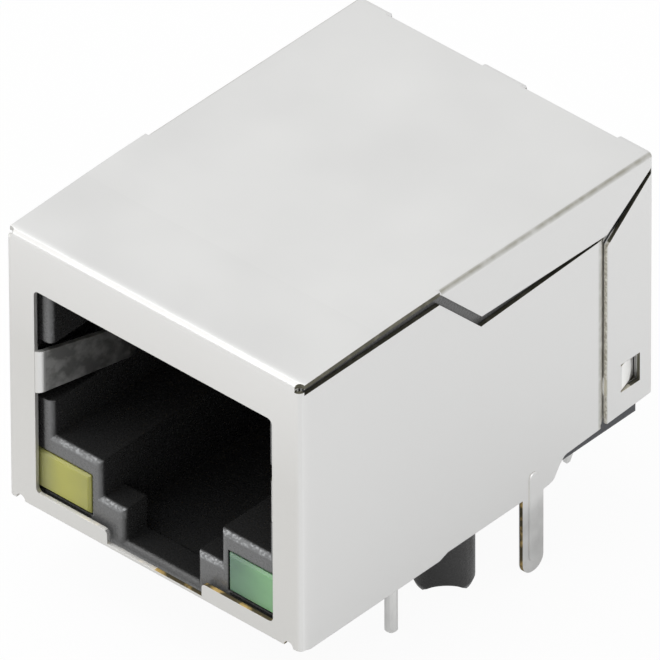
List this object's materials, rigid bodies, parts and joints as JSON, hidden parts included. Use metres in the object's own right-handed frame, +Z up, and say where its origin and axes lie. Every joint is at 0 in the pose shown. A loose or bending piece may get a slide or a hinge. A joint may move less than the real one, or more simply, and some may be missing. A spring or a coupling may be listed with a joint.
{
  "type": "board-mounted modular jack",
  "caption": "Shielded right-angle board jack for a modular network plug, with lamps beside the latch way, spring fingers, solder tabs and locating pegs.",
  "frame": {"origin": "on the circuit board's surface, halfway between the two locating pegs", "axes": "+X to the right as seen from the mouth's side, +Y from the mouth to the rear, +Z up from the board"},
  "size_m": [0.016, 0.0212, 0.0172],
  "materials": {
    "shield": "satin tin plate",
    "housing": "fine grained black",
    "insert": "satin black",
    "case": "satin dark grey",
    "board": "lacquered glass fibre",
    "lamp_yellow": "diffused yellow lens",
    "lamp_green": "diffused green lens",
    "tinned_wire": "tinned",
    "contact": "gold plated",
    "core": "pressed ferrite",
    "winding": "enamelled copper wire",
    "resistor": "black glaze",
    "capacitor": "brown ceramic"
  },
  "bodies": {
    "root": {"shield_shell": "shield", "front_housing": "housing", "contact_insert": "insert", "magnetics_case": "case", "circuit_board": "board", "lamp_left": "lamp_yellow", "lamp_right": "lamp_green", "chip_capacitor": "capacitor", "lamp_left_lead_1": "tinned_wire", "lamp_left_lead_2": "tinned_wire", "lamp_right_lead_1": "tinned_wire", "lamp_right_lead_2": "tinned_wire", "contact_1": "contact", "pin_1": "tinned_wire", "toroid_core_1": "core", "winding_1": "winding", "contact_2": "contact", "pin_2": "tinned_wire", "toroid_core_2": "core", "winding_2": "winding", "contact_3": "contact", "pin_3": "tinned_wire", "toroid_core_3": "core", "winding_3": "winding", "contact_4": "contact", "pin_4": "tinned_wire", "toroid_core_4": "core", "winding_4": "winding", "contact_5": "contact", "pin_5": "tinned_wire", "toroid_core_5": "core", "winding_5": "winding", "contact_6": "contact", "pin_6": "tinned_wire", "toroid_core_6": "core", "winding_6": "winding", "contact_7": "contact", "pin_7": "tinned_wire", "toroid_core_7": "core", "winding_7": "winding", "contact_8": "contact", "pin_8": "tinned_wire", "toroid_core_8": "core", "winding_8": "winding", "chip_resistor_1": "resistor", "chip_resistor_2": "resistor", "chip_resistor_3": "resistor", "chip_resistor_4": "resistor"}
  },
  "joints": []
}
